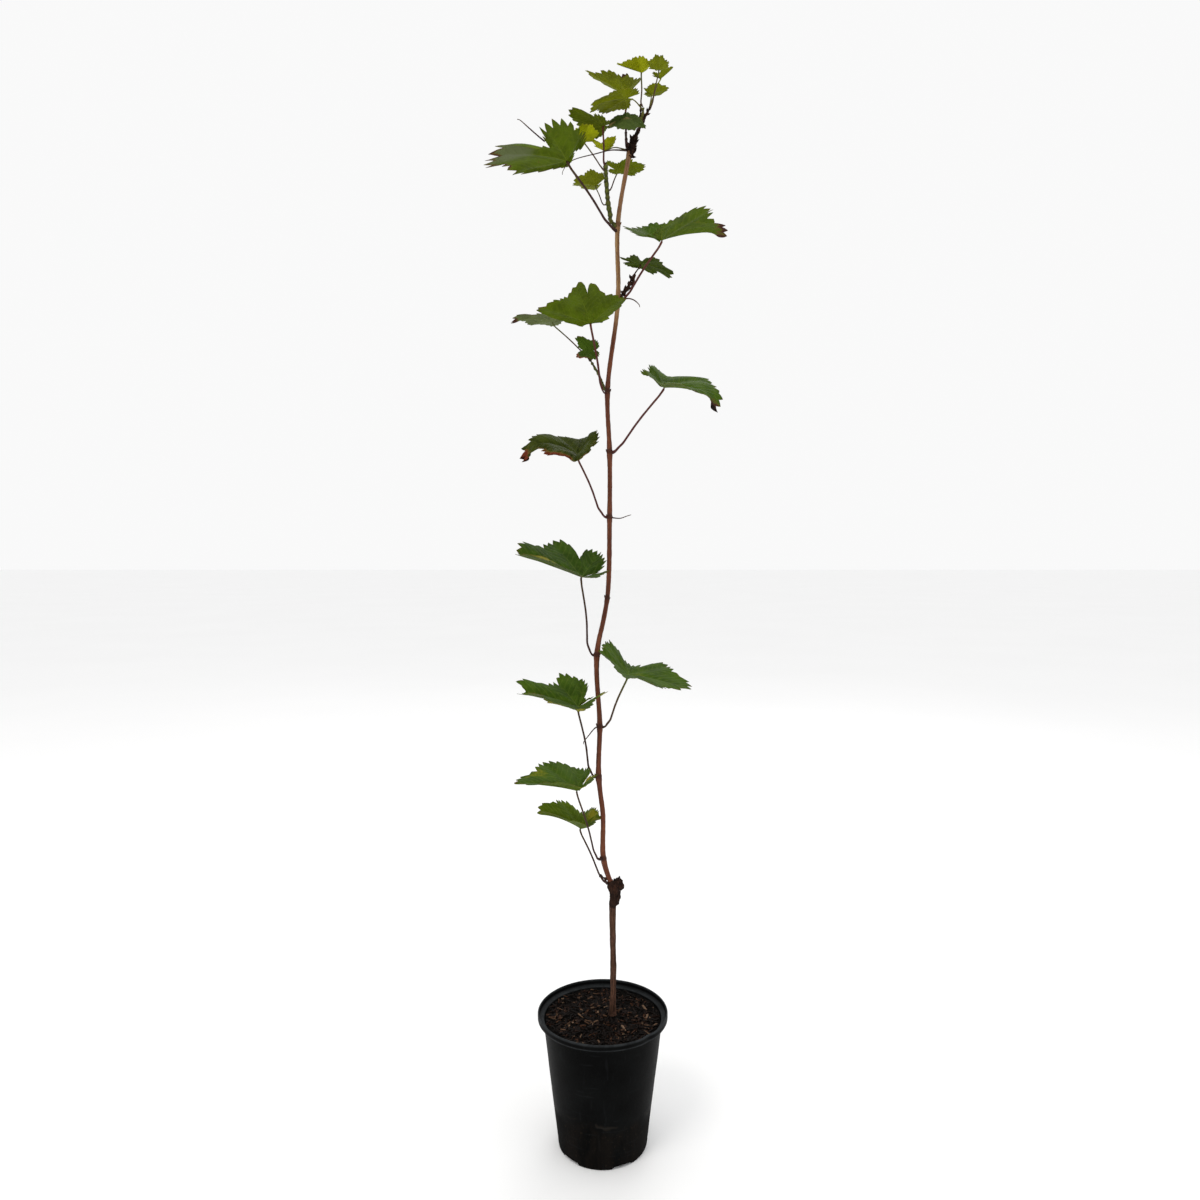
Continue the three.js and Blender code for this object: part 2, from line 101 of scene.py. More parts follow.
def link(mesh_name, bm, *materials):
    mesh = bpy.data.meshes.new(mesh_name)
    bm.to_mesh(mesh)
    bm.free()
    piece = bpy.data.objects.new(mesh_name, mesh)
    bpy.context.scene.collection.objects.link(piece)
    for material in materials:
        mesh.materials.append(material)
    for polygon in mesh.polygons:
        polygon.use_smooth = True
    return piece


def merged(node):
    """A copy of a node's solid with its corners joined."""
    bm = bmesh.new()
    bm.from_mesh(bpy.data.objects[node].data)
    bmesh.ops.remove_doubles(bm, verts=bm.verts, dist=1e-6)
    return bm


def sheet(bm, columns, rows, place):
    """A grid of faces, each corner of which place(u, v, corner) moves; u and v run from 0 to 1."""
    made = bmesh.ops.create_grid(bm, x_segments=columns, y_segments=rows, size=0.5)["verts"]
    for corner in made:
        u = clamp(corner.co.x + 0.5)
        v = clamp(corner.co.y + 0.5)
        corner.co = place(u, v, corner)
    return made


def close_up(bm):
    """Joins seams and poles, and turns all faces outwards."""
    bmesh.ops.remove_doubles(bm, verts=bm.verts, dist=1e-6)
    bmesh.ops.recalc_face_normals(bm, faces=bm.faces)


def between(a, b, c, d, share):
    """A smooth way from b to c, with a before them and d after them."""
    return (b * 2 + (c - a) * share + (a * 2 - b * 5 + c * 4 - d) * share ** 2
            + (b * 3 - a - c * 3 + d) * share ** 3) * 0.5


def finished(piece, slot, *nodes):
    """The piece goes with the plant and stands for these solids; its slot is not used."""
    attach(piece, "root")
    if nodes:
        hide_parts(*nodes)


# ---------------------------------------------------------------- materials

class Value:
    """A value or colour inside a material. Sums on it add the nodes that work them out."""

    def __init__(self, tree, socket):
        self.tree = tree
        self.socket = socket

    def add(self, kind, settings=None, inputs=None, output=0):
        node = self.tree.nodes.new(kind)
        for key, setting in (settings or {}).items():
            if key == "stops":
                for _ in range(len(setting) - 2):
                    node.color_ramp.elements.new(0.5)
                for element, (place, colour) in zip(node.color_ramp.elements, setting):
                    element.position = place
                    element.color = colour
            else:
                setattr(node, key, setting)
        for key, value in (inputs or {}).items():
            if isinstance(value, Value):
                self.tree.links.new(value.socket, node.inputs[key])
            else:
                node.inputs[key].default_value = value
        return Value(self.tree, node.outputs[output])

    def maths(self, operation, *values):
        return self.add("ShaderNodeMath", {"operation": operation}, dict(enumerate(values)))

    def __add__(self, other):
        return self.maths("ADD", self, other)

    def __sub__(self, other):
        return self.maths("SUBTRACT", self, other)

    def __rsub__(self, other):
        return self.maths("SUBTRACT", other, self)

    def __mul__(self, other):
        return self.maths("MULTIPLY", self, other)

    def __truediv__(self, other):
        return self.maths("DIVIDE", self, other)

    __radd__ = __add__
    __rmul__ = __mul__

    def ramp(self, start, end, low=0.0, high=1.0):
        """Goes smoothly from low to high as the value goes from start to end."""
        return self.add("ShaderNodeMapRange", {"interpolation_type": "SMOOTHSTEP"},
                        {0: self, 1: start, 2: end, 3: low, 4: high})

    def mix(self, colour, other):
        """The first colour where the value is 0, the other where it is 1."""
        return self.add("ShaderNodeMix", {"data_type": "RGBA", "clamp_factor": True},
                        {0: self, 6: colour, 7: other}, output=2)

    def stretched(self, x, y, z):
        return self.add("ShaderNodeVectorMath", {"operation": "MULTIPLY"}, {0: self, 1: (x, y, z)})

    def noise(self, scale, detail=3.0, roughness=0.55):
        return self.add("ShaderNodeTexNoise", None,
                        {"Vector": self, "Scale": scale, "Detail": detail, "Roughness": roughness})

    def cells(self, scale, feature="DISTANCE_TO_EDGE", output=0):
        return self.add("ShaderNodeTexVoronoi", {"feature": feature},
                        {"Vector": self, "Scale": scale}, output)

    def axes(self):
        split = self.add("ShaderNodeSeparateXYZ", None, {0: self})
        return [Value(self.tree, socket) for socket in split.socket.node.outputs]

    def bump(self, strength, distance):
        return self.add("ShaderNodeBump", None, {"Height": self, "Strength": strength, "Distance": distance})


def new_look(name, **constants):
    """A material with its shader's fixed numbers set; gives it and a value to build on."""
    material = bpy.data.materials.new(name)
    material.use_nodes = True
    tree = material.node_tree
    shader = tree.nodes["Principled BSDF"]
    for key, constant in constants.items():
        shader.inputs[key.replace("_", " ")].default_value = constant
    return material, Value(tree, None)


def wire(value, **links):
    shader = value.tree.nodes["Principled BSDF"]
    for key, link_value in links.items():
        value.tree.links.new(link_value.socket, shader.inputs[key.replace("_", " ")])


def attribute(value, name):
    return value.add("ShaderNodeAttribute", {"attribute_name": name}, None, output=1)


def object_place(value):
    return value.add("ShaderNodeTexCoord", None, None, output=3)


# ---------------------------------------------------------------- floor

def add_floor():
    bm = bmesh.new()
    bmesh.ops.create_grid(bm, x_segments=8, y_segments=8, size=30)
    look, base = new_look("pale floor", Roughness=0.85)
    cloud = object_place(base).noise(1.2)
    wire(base, Base_Color=cloud.mix((0.93, 0.93, 0.93, 1), (0.97, 0.97, 0.97, 1)))
    link("floor", bm, look)


add_floor()
world = bpy.data.worlds.new("studio")
world.use_nodes = True
world.node_tree.nodes["Background"].inputs[0].default_value = (1, 1, 1, 1)
world.node_tree.nodes["Background"].inputs[1].default_value = 0.95
bpy.context.scene.world = world
bpy.context.scene.view_settings.view_transform = "Standard"


# ---------------------------------------------------------------- reading the solids

SPOKES = 24                               # spokes of a leaf's solid
HALF_WAY = 0.55                           # share of a spoke at its middle ring


class Blade:
    """
    A leaf's middle surface, read from its solid: spokes from the joint out to the margin. The
    first spoke is the one that points along the heading; turns are counted from it.
    """

    def __init__(self, node, heading):
        bm = merged(node)
        poles = sorted(bm.verts, key=lambda corner: len(corner.link_edges))[-2:]
        inner = {edge.other_vert(pole) for pole in poles for edge in pole.link_edges}
        margin = [corner for corner in bm.verts if corner not in inner and corner not in poles]
        poles.sort(key=lambda corner: corner.co.z)
        self.joint = (poles[0].co + poles[1].co) / 2
        self.up = (poles[1].co - poles[0].co).normalized()
        way = Vector(heading)
        tip = max(margin, key=lambda corner: (corner.co - self.joint).normalized().dot(way))
        ring = [tip]
        left = self.up.cross(tip.co - self.joint)
        near = [edge.other_vert(tip) for edge in tip.link_edges if edge.other_vert(tip) in margin]
        ring.append(max(near, key=lambda corner: (corner.co - tip.co).dot(left)))
        while len(ring) < len(margin):
            steps = [edge.other_vert(ring[-1]) for edge in ring[-1].link_edges]
            ring.append(next(corner for corner in steps if corner in margin and corner not in ring))
        self.margin = [corner.co.copy() for corner in ring]
        self.middle = []
        for place in self.margin:
            aim = self.joint.lerp(place, HALF_WAY)
            pair = sorted(inner, key=lambda corner: (corner.co - aim).length)[:2]
            self.middle.append((pair[0].co + pair[1].co) / 2)
        bm.free()
        self.reach = [(m - self.joint).length + (e - m).length for m, e in zip(self.middle, self.margin)]
        self.length = max(self.reach)

    def between(self, series, turn):
        """A smooth value between the spokes, at a turn in degrees from the tip."""
        place = (turn % 360) / 360 * SPOKES
        index = int(place)
        share = place - index
        return between(*(series[(index + step) % SPOKES] for step in (-1, 0, 1, 2)), share)

    def at(self, turn, share):
        """The point on a spoke at a share of the way to the solid's margin."""
        middle = self.between(self.middle, turn)
        margin = self.between(self.margin, turn)
        first = (share - HALF_WAY) * (share - 1) / HALF_WAY
        second = share * (share - 1) / (HALF_WAY * (HALF_WAY - 1))
        third = share * (share - HALF_WAY) / (1 - HALF_WAY)
        return self.joint * first + middle * second + margin * third

    def normal(self, turn, share):
        across = self.at(turn + 4, share) - self.at(turn - 4, share)
        out = self.at(turn, share + 0.05) - self.at(turn, share - 0.05)
        normal = out.cross(across).normalized()
        if normal.dot(self.up) < 0:
            normal = -normal
        return self.up.lerp(normal, smooth(0.05, 0.4, share)).normalized()


def course_of(node, slices):
    """The middle line of a round solid and its radius, from its lower end to its upper end."""
    bm = merged(node)
    low = min(bm.verts, key=lambda corner: corner.co.z).co.copy()
    high = max(bm.verts, key=lambda corner: corner.co.z).co.copy()
    way = (high - low).normalized()
    start = min(corner.co.dot(way) for corner in bm.verts)
    end = max(corner.co.dot(way) for corner in bm.verts)
    points = []
    for i in range(slices + 1):
        share = 0.006 + 0.988 * i / slices
        cut = bm.copy()
        plane = way * (start + (end - start) * share)
        made = bmesh.ops.bisect_plane(cut, geom=cut.verts[:] + cut.edges[:] + cut.faces[:],
                                      plane_co=plane, plane_no=way)["geom_cut"]
        ring = [part.co for part in made if isinstance(part, bmesh.types.BMVert)]
        centre = sum(ring, Vector()) / len(ring)
        radius = sum((corner - centre).length for corner in ring) / len(ring)
        points.append((centre, radius))
        cut.free()
    bm.free()
    return points


# ---------------------------------------------------------------- leaf materials

def leaf_look(name, face, deep, vein, under=False, burnt=(66, 40, 30), pale=(150, 140, 40)):
    """
    One side of a leaf. Each corner of a leaf carries "ribs" (way along the nearest main vein, way
    off it, share of the way to the margin) and "wear" (burnt, pale, and a pale grey painted sheen),
    all in plain numbers.
    """
    look, base = new_look(name, Specular_IOR_Level=0.05 if under else 0.04)
    along, off, edge = attribute(base, "ribs").axes()
    burn, fade, sheen = attribute(base, "wear").axes()
    place = object_place(base)
    broad = place.noise(38, 3, 0.6)
    fine = place.noise(520, 4, 0.65)
    mottle = place.noise(150, 3, 0.65)

    slim = off / (1.12 - edge * 0.8)
    main = slim.ramp(0.25, 0.95, 1.0, 0.0)
    lane = (along - off * 0.95) / 8.5 + mottle * 0.16
    saw = lane.maths("PINGPONG", lane, 0.5)
    side = saw.ramp(0.012, 0.05, 1.0, 0.0) * off.ramp(0.3, 1.5)
    net = place.cells(560).ramp(0.0, 0.10, 1.0, 0.0)
    quilt = saw.ramp(0.0, 0.35)

    colour = broad.ramp(0.36, 0.66).mix(face, deep)
    colour = (mottle.ramp(0.45, 0.75) * 0.30).mix(colour, vein)
    colour = (fine.ramp(0.45, 0.75) * 0.25).mix(colour, deep)
    colour = (net * 0.10).mix(colour, vein)
    colour = (quilt.ramp(1.0, 0.0) * 0.16).mix(colour, vein)
    colour = (side * (0.42 if under else 0.30)).mix(colour, vein)
    colour = (main * (0.75 if under else 0.55)).mix(colour, vein)

    # Pale grey patches: a painted sheen, the highlight on the glossy blade.
    painted_sheen = (sheen + mottle * 0.5 - 0.25).ramp(0.15, 0.75)
    colour = (painted_sheen * 0.8).mix(colour, linear(96, 104, 70) if under else linear(84, 96, 62))
    faded = (fade + mottle * 0.6 - 0.3).ramp(0.2, 0.7)
    colour = (faded * 0.75).mix(colour, linear(*pale))
    specks = place.noise(300, 2, 0.5).ramp(0.71, 0.76)
    colour = (specks * 0.55).mix(colour, linear(96, 70, 34))
    rim = edge.ramp(0.965, 1.0) * mottle.ramp(0.4, 0.62)
    colour = (rim * 0.6).mix(colour, linear(104, 78, 40))
    scorch = burn + mottle * 0.7 - 0.35
    colour = scorch.ramp(0.14, 0.30).mix(colour, linear(92, 76, 34))
    colour = scorch.ramp(0.24, 0.44).mix(colour, linear(*burnt))
    colour = scorch.ramp(0.70, 0.95).mix(colour, linear(*(c * 0.45 for c in burnt)))

    if under:
        height = fine * 0.08 - quilt * 0.3 + net * 0.06 + side * 0.5 + main * 1.0
    else:
        height = quilt * 0.5 + fine * 0.05 - net * 0.03 - side * 0.25 - main * 0.5
    gloss = fine * 0.12 + mottle * 0.10 + scorch.ramp(0.2, 0.5) * 0.15 + 0.5
    wire(base, Base_Color=colour, Roughness=gloss, Normal=height.bump(0.6, 0.0008))
    return look


# ---------------------------------------------------------------- leaves

VEINS = (0, 51, -51, 106, -106, 150, -150)        # degrees from the tip
MAIN_VEINS = VEINS[:5]
RINGS = (0, 0.05, 0.11, 0.19, 0.28, 0.37, 0.46, 0.55, 0.63, 0.71, 0.78, 0.85, 0.91, 0.96, 1.0)


def leaf_piece(number, looks, heading, teeth=44, tooth=0.055, ruffle=0.03, puff=0.03, curl=0.0, droop=0.0,
               burnt=(), faded=(), painted_sheen=(), cuts=()):
    """
    A thin toothed blade on the surface of its solid. cuts are bays in the margin: (turn in degrees,
    width, depth). burnt and faded patches, and pale grey patches of painted sheen, are (turn, width,
    share of the way out, depth).
    """
    blade = Blade(f"leaf_{number:02d}", heading)
    dice = random.Random(number)
    sizes = [dice.uniform(0.7, 1.15) for _ in range(teeth + 1)]
    lean = [dice.uniform(-0.25, 0.25) for _ in range(teeth + 1)]
    phase = dice.uniform(0, 6)
    length = blade.length
    bm = bmesh.new()
    ribs = bm.verts.layers.float_vector.new("ribs")
    wear = bm.verts.layers.float_vector.new("wear")

    def lobes(turn):
        away = abs(turn)
        shape = 1 + 0.04 * hump(away, 52, 13) + 0.03 * hump(away, 106, 15)
        shape -= 0.06 * hump(away, 31, 5) + 0.05 * hump(away, 79, 6) + 0.04 * hump(away, 132, 7)
        for centre, width, depth in cuts:
            shape -= depth * hump(turn, centre, width)
        return shape * (1 - 0.45 * smooth(172, 180, away))

    def place(u, v, corner):
        ring = RINGS[round(v * (len(RINGS) - 1))]
        step = u * teeth
        index = min(int(step + 1e-6), teeth - 1)
        share = clamp(step - index)
        turn = -180 + 360 * u
        nearest = min(MAIN_VEINS, key=lambda vein: abs(turn - vein))
        side = 1 if turn > nearest else -1
        peak = clamp(1 - abs(share - 0.5) * 2)
        size = sizes[index] * (1 + 0.25 * hump(turn, nearest, 9)) * (1 - smooth(158, 170, abs(turn)))
        outer = smooth(0.78, 1.0, ring)
        bend = -side * (1.6 + lean[index]) * peak * size * outer * smooth(1.5, 8, abs(turn - nearest))
        reach = blade.between(blade.reach, turn)
        edge = tooth * size * (peak ** 0.85 * 1.4 - 0.75) * outer * length / max(reach, 0.3 * length)
        radius = lobes(turn) * (0.97 + edge)
        angle = clamp(turn + bend, -180, 180)
        gone = radius * ring
        out = blade.at(angle, gone)
        normal = blade.normal(angle, gone)
        flat = reach * gone
        vein = min(VEINS, key=lambda name: abs(angle - name))
        along = flat * math.cos(math.radians(angle - vein))
        off = flat * abs(math.sin(math.radians(angle - vein)))
        height = puff * length * (1 - math.exp(-((off / (0.075 * length)) ** 2))) * smooth(0.02, 0.3, ring)
        around = math.radians(angle)
        height += ruffle * length * ring ** 3 * math.sin(around * 5 + phase + 2 * math.sin(around * 2))
        height += 0.012 * length * ring * noise.noise(out * 55 + Vector((number, 0, 0)))
        height -= curl * length * smooth(0.7, 1.0, ring) ** 2 * (0.6 + 0.4 * size)
        tip = hump(angle, 0, 22) * smooth(0.62, 1.0, ring)
        height -= droop * length * tip ** 2
        point = out + normal * height
        point += (blade.joint - out).normalized() * droop * length * 0.45 * tip ** 3
        burn = fade = sheen = 0.0
        for centre, width, start, depth in burnt:
            burn = max(burn, depth * hump(angle, centre, width) * smooth(start - 0.12, start + 0.1, ring))
        for centre, width, start, depth in faded:
            fade = max(fade, depth * hump(angle, centre, width) * hump(ring, start, 0.3))
        # Pale grey patches of painted sheen.
        for centre, width, start, depth in painted_sheen:
            sheen = max(sheen, depth * hump(angle, centre, width) * smooth(start - 0.2, start + 0.2, ring))
        scale = 80 / length
        corner[ribs] = (along * scale, off * scale, ring)
        corner[wear] = (burn, fade, sheen)
        return point

    sheet(bm, teeth * 6, len(RINGS) - 1, place)
    bmesh.ops.remove_doubles(bm, verts=bm.verts, dist=2e-5)
    bm.normal_update()
    if sum((face.normal * face.calc_area() for face in bm.faces), Vector()).dot(blade.up) < 0:
        bmesh.ops.reverse_faces(bm, faces=bm.faces)
    piece = link(f"leaf_blade_{number:02d}", bm, *looks)
    thick = piece.modifiers.new("thickness", "SOLIDIFY")
    thick.thickness = 0.35 * MM
    thick.offset = 0
    thick.material_offset = 1
    thick.material_offset_rim = 1
    finished(piece, "young_leaf" if number >= 14 else "leaf", f"leaf_{number:02d}")
    return blade


def looks_of(name, face, deep, under, vein, under_vein, **kind):
    return (leaf_look(f"{name} leaf top", linear(*face), linear(*deep), linear(*vein), **kind),
            leaf_look(f"{name} leaf underside", linear(*under), linear(*(c * 0.8 for c in under)),
                      linear(*under_vein), under=True, **kind))


# Colours of a look: face, deep, underside, vein, underside vein. The underside colours are paler partly as
# real leaf undersides are, and partly painted light shining through the thin leaf.
MID_GREEN = ((60, 84, 14), (44, 66, 8), (70, 90, 10), (88, 106, 34), (98, 110, 30))
LOOKS = {
    "green": looks_of("green", *MID_GREEN),
    "rusty": looks_of("rusty", *MID_GREEN, burnt=(126, 84, 62)),
    "deep": looks_of("deep", (50, 74, 12), (36, 56, 8), (58, 76, 10), (80, 96, 36), (86, 98, 30)),
    "olive": looks_of("olive", (52, 62, 11), (38, 46, 8), (56, 66, 10), (76, 82, 28), (84, 88, 28),
                      burnt=(98, 46, 28)),
    "grey": looks_of("grey-green", (68, 82, 36), (50, 66, 22), (92, 104, 58), (92, 104, 54), (112, 120, 74),
                     pale=(150, 124, 84)),
    # The next two looks are lighter, yellower copies of the leaf green: painted light falling on and shining
    # through these leaves.
    "painted_sunlit": looks_of("painted_sunlit", (88, 106, 12), (66, 86, 8), (78, 96, 8), (98, 112, 30), (92, 106, 20)),
    "painted_backlit": looks_of("painted_backlit", (92, 110, 12), (70, 88, 8), (96, 110, 10), (116, 128, 34), (122, 132, 26)),
    "young": looks_of("young", (150, 156, 12), (126, 134, 8), (160, 166, 10), (160, 164, 32), (170, 174, 30)),
    "fresh": looks_of("fresh", (104, 116, 12), (80, 94, 10), (114, 122, 10), (126, 136, 32), (136, 142, 26)),
}

# Each leaf: its look, the rough way its tip points from the stalk, and how it is made.
LEAVES = {
    1: ("painted_sunlit", (-51, -10, 22), dict(faded=((-150, 40, 0.7, 0.8), (150, 30, 0.7, 0.6), (20, 14, 0.8, 0.4)))),
    2: ("green", (-72, -8, 9), dict(faded=((160, 20, 0.8, 0.7), (90, 12, 0.95, 0.6), (-30, 16, 0.9, 0.4)),
                                    burnt=((-4, 8, 1.0, 0.5),))),
    3: ("green", (-71, -5, 19), dict(cuts=((-4, 3, 0.15), (-50, 3, 0.08)),
                                     faded=((55, 14, 0.95, 0.5), (90, 10, 0.95, 0.6), (150, 12, 0.9, 0.6)))),
    4: ("green", (71, -9, -19), dict(cuts=((72, 3, 0.30),), faded=((0, 60, 0.2, 0.3),))),
    5: ("deep", (-78, -8, 26), dict(cuts=((-76, 4, 0.38),), faded=((33, 14, 0.9, 0.6),))),
    6: ("olive", (-73, -8, 4), dict(droop=0.12, curl=0.07, tooth=0.07, cuts=((18, 6, 0.14), (-18, 6, 0.14)),
                                    burnt=((60, 30, 0.93, 0.85), (100, 14, 1.0, 0.6), (0, 7, 0.90, 1.2)))),
    7: ("green", (68, -13, -24), dict(droop=0.08, curl=0.03, burnt=((0, 8, 0.88, 1.2), (-40, 8, 1.0, 0.8)))),
    8: ("painted_sunlit", (-16, -73, 24), dict(tooth=0.035, cuts=((11, 2.4, 0.34),), burnt=((-57, 10, 1.0, 0.5),))),
    9: ("grey", (-50, -4, 1), dict(droop=0.02, burnt=((0, 10, 0.92, 0.9), (40, 14, 1.0, 0.6)))),
    10: ("rusty", (-24, -4, 1), dict(teeth=30, burnt=((45, 22, 0.85, 0.8), (-60, 14, 1.0, 0.5)))),
    11: ("green", (81, 26, 12), dict(droop=0.06, painted_sheen=((118, 26, 0.4, 0.95), (-160, 20, 0.6, 0.6)),
                                     burnt=((14, 20, 0.84, 0.85), (-14, 10, 0.95, 0.9),
                                            (118, 12, 1.0, 0.4)))),
    12: ("deep", (38, 2, -14), dict(teeth=30, curl=0.03, burnt=((20, 10, 1.0, 0.6), (-30, 10, 1.0, 0.5)))),
    13: ("painted_sunlit", (-87, -31, -9), dict(curl=0.03, tooth=0.088, painted_sheen=((0, 22, 0.5, 1),),
                                       burnt=((-30, 26, 1.0, 0.85), (-75, 20, 1.0, 0.7),
                                              (0, 10, 0.98, 0.8)))),
    14: ("young", (6, -20, 12), dict(teeth=32)),
    15: ("young", (-2, -14, 6), dict(teeth=28)),
    16: ("fresh", (-27, -5, 2), dict(teeth=34)),
    17: ("fresh", (34, 0, 3), dict(teeth=34)),
    18: ("painted_backlit", (-44, -12, 14), dict(teeth=34, burnt=((0, 8, 0.98, 0.5),))),
    19: ("grey", (-1, -15, -22), dict(teeth=30, faded=((0, 90, 0.05, 0.7), (-70, 20, 0.8, 0.6)))),
    20: ("fresh", (-40, -9, -15), dict(teeth=36, cuts=((90, 34, 0.35),))),
    21: ("fresh", (-50, -12, 22), dict(teeth=36, burnt=((66, 8, 0.9, 0.6),))),
    22: ("fresh", (22, -2, 6), dict(teeth=28)),
    23: ("fresh", (16, 0, 13), dict(teeth=24)),
    24: ("fresh", (-1, -26, 2), dict(teeth=30)),
    25: ("young", (-29, -20, -2), dict(teeth=36)),
}

blades = {}
for number, (look, heading, build) in LEAVES.items():
    blades[number] = leaf_piece(number, LOOKS[look], heading, **build)


# ---------------------------------------------------------------- wood and stalk materials

def wood_look(name, light, dark, streak, rough=0.6, shine=0.15, scale=1.0, relief=0.0006):
    """
    Bark or skin whose fibres follow the limb. Each corner carries "grain" (round the limb and
    along it) and "mark" (dark at nodes and cuts and painted shade in sunken furrows and hollows,
    share of the way along the limb, free).
    """
    look, base = new_look(name, Specular_IOR_Level=shine)
    grain = attribute(base, "grain")
    mark, _, _ = attribute(base, "mark").axes()
    fibre = grain.stretched(1, 1, 0.07).noise(1500 * scale, 5, 0.7)
    strand = grain.stretched(1, 1, 0.03).noise(620 * scale, 3, 0.6)
    crack = grain.stretched(1, 1, 0.10).cells(900 * scale).ramp(0.0, 0.09, 1.0, 0.0)
    patch = object_place(base).noise(95, 4, 0.65)
    colour = strand.ramp(0.32, 0.66).mix(linear(*dark), linear(*light))
    colour = (patch.ramp(0.42, 0.68) * 0.55).mix(colour, linear(*streak))
    colour = (fibre.ramp(0.40, 0.64, 1.0, 0.0) * 0.55).mix(colour, linear(*dark))
    colour = (crack * 0.35).mix(colour, linear(*(c * 0.5 for c in dark)))
    colour = (mark.ramp(0.1, 0.9) * 0.75).mix(colour, linear(*(c * 0.62 for c in dark)))
    height = fibre * 0.5 + strand * 0.6 - crack * 0.5 + patch * 0.3
    wire(base, Base_Color=colour, Roughness=fibre * 0.25 + (rough - 0.1),
         Normal=height.bump(0.7, relief))
    return look, base, colour


def cane_look():
    """Red-brown ripening cane below, ochre-tan with pink flanks towards the top."""
    look, base, low = wood_look("cane bark", (128, 74, 46), (78, 40, 26), (104, 54, 40), 0.52, 0.16)
    grain = attribute(base, "grain")
    height = object_place(base).axes()[2]
    strand = grain.stretched(1, 1, 0.03).noise(560, 3, 0.6)
    patch = object_place(base).noise(60, 3, 0.6)
    pale = strand.ramp(0.35, 0.65).mix(linear(112, 78, 48), linear(152, 120, 80))
    pale = (patch.ramp(0.46, 0.66) * 0.6).mix(pale, linear(106, 70, 50))
    pale = (height.ramp(1.06, 1.10) * 0.5).mix(pale, linear(118, 80, 58))
    mark = attribute(base, "mark").axes()[0]
    pale = (mark.ramp(0.1, 0.9) * 0.7).mix(pale, linear(80, 50, 32))
    high = (height + patch * 0.06).ramp(0.95, 1.02)
    wire(base, Base_Color=high.mix(low, pale))
    return look


def stalk_look(name, low, high, dark):
    """Smooth stalk skin, darker at its swollen foot, that changes colour towards the leaf."""
    look, base = new_look(name, Specular_IOR_Level=0.15)
    grain = attribute(base, "grain")
    mark, along, _ = attribute(base, "mark").axes()
    fibre = grain.stretched(1, 1, 0.05).noise(1900, 4, 0.6)
    patch = object_place(base).noise(120, 3, 0.6)
    colour = (along + patch * 0.5 - 0.25).ramp(0.45, 1.0).mix(linear(*low), linear(*high))
    colour = (fibre.ramp(0.42, 0.66) * 0.45).mix(colour, linear(*dark))
    colour = (mark * 0.6).mix(colour, linear(*dark))
    height = fibre * 0.6 + patch * 0.2
    wire(base, Base_Color=colour, Roughness=fibre * 0.2 + 0.38, Normal=height.bump(0.5, 0.0003))
    return look


OLD_BARK = wood_look("old bark", (92, 64, 48), (38, 24, 18), (120, 84, 70), 0.85, 0.1, 0.7, 0.0012)[0]
DARK_BARK = wood_look("gnarled bark", (58, 38, 28), (24, 15, 12), (76, 46, 32), 0.85, 0.1, 0.8, 0.0010)[0]
GREEN_BARK = wood_look("green shoot skin", (98, 106, 38), (60, 64, 22), (114, 88, 42), 0.55, 0.15)[0]
CANE_BARK = cane_look()
STALK_SKINS = {
    "red": stalk_look("red-brown stalk", (78, 38, 34), (96, 50, 38), (40, 20, 18)),
    "dark": stalk_look("dark stalk", (58, 34, 30), (74, 54, 34), (32, 20, 18)),
    "olive": stalk_look("olive stalk", (74, 52, 34), (92, 96, 40), (44, 34, 20)),
    "green": stalk_look("green stalk", (96, 92, 36), (118, 126, 40), (66, 60, 26)),
}


# ---------------------------------------------------------------- limbs

class Course:
    """A smooth line through stations of (point, radius), measured along its length."""

    def __init__(self, stations):
        self.stations = stations
        self.marks = [0.0]
        for (a, _), (b, _) in zip(stations, stations[1:]):
            self.marks.append(self.marks[-1] + max((b - a).length, 1e-6))
        self.length = self.marks[-1]

    def at(self, distance):
        """The middle point and the radius there."""
        index = 0
        while index < len(self.marks) - 2 and self.marks[index + 1] < distance:
            index += 1
        share = clamp((distance - self.marks[index]) / (self.marks[index + 1] - self.marks[index]))
        last = len(self.stations) - 1
        near = [self.stations[min(max(index + step, 0), last)] for step in (-1, 0, 1, 2)]
        point = between(*(place for place, _ in near), share)
        return point, near[1][1] + (near[2][1] - near[1][1]) * share

    def ways(self, distance):
        """The direction of the line and two directions across it."""
        ahead = self.at(min(distance + MM, self.length))[0]
        behind = self.at(max(distance - MM, 0))[0]
        way = (ahead - behind).normalized()
        side = way.cross(Vector((0.15, 1, 0.1))).normalized()
        return way, side, way.cross(side)


def plain_skin(along, turn, point):
    return 0.0, 0.0


def bark_layers(bm):
    return bm.verts.layers.float_vector.new("grain"), bm.verts.layers.float_vector.new("mark")


def limb(bm, layers, stations, sides=12, step=3.0, skin=plain_skin):
    """
    A closed round bar along the stations. skin(along, turn, point) gives how far it stands out
    at a place, in millimetres, and how dark it is there.
    """
    grain, mark = layers
    course = Course(stations)
    rows = max(4, math.ceil(course.length / (step * MM)))

    def place(u, v, corner):
        row = round(v * (rows + 2))
        distance = clamp((row - 1) / rows) * course.length
        point, radius = course.at(distance)
        _, side, up = course.ways(distance)
        turn = (2 * math.pi * u) % (2 * math.pi)
        lift, dark = skin(distance / MM, turn, point)
        span = 0.0 if row in (0, rows + 2) else radius + lift * MM
        corner[grain] = (math.cos(turn) * radius, math.sin(turn) * radius, distance)
        corner[mark] = (dark, distance / course.length, 0)
        return point + (side * math.cos(turn) + up * math.sin(turn)) * span

    sheet(bm, sides, rows + 2, place)
    return course


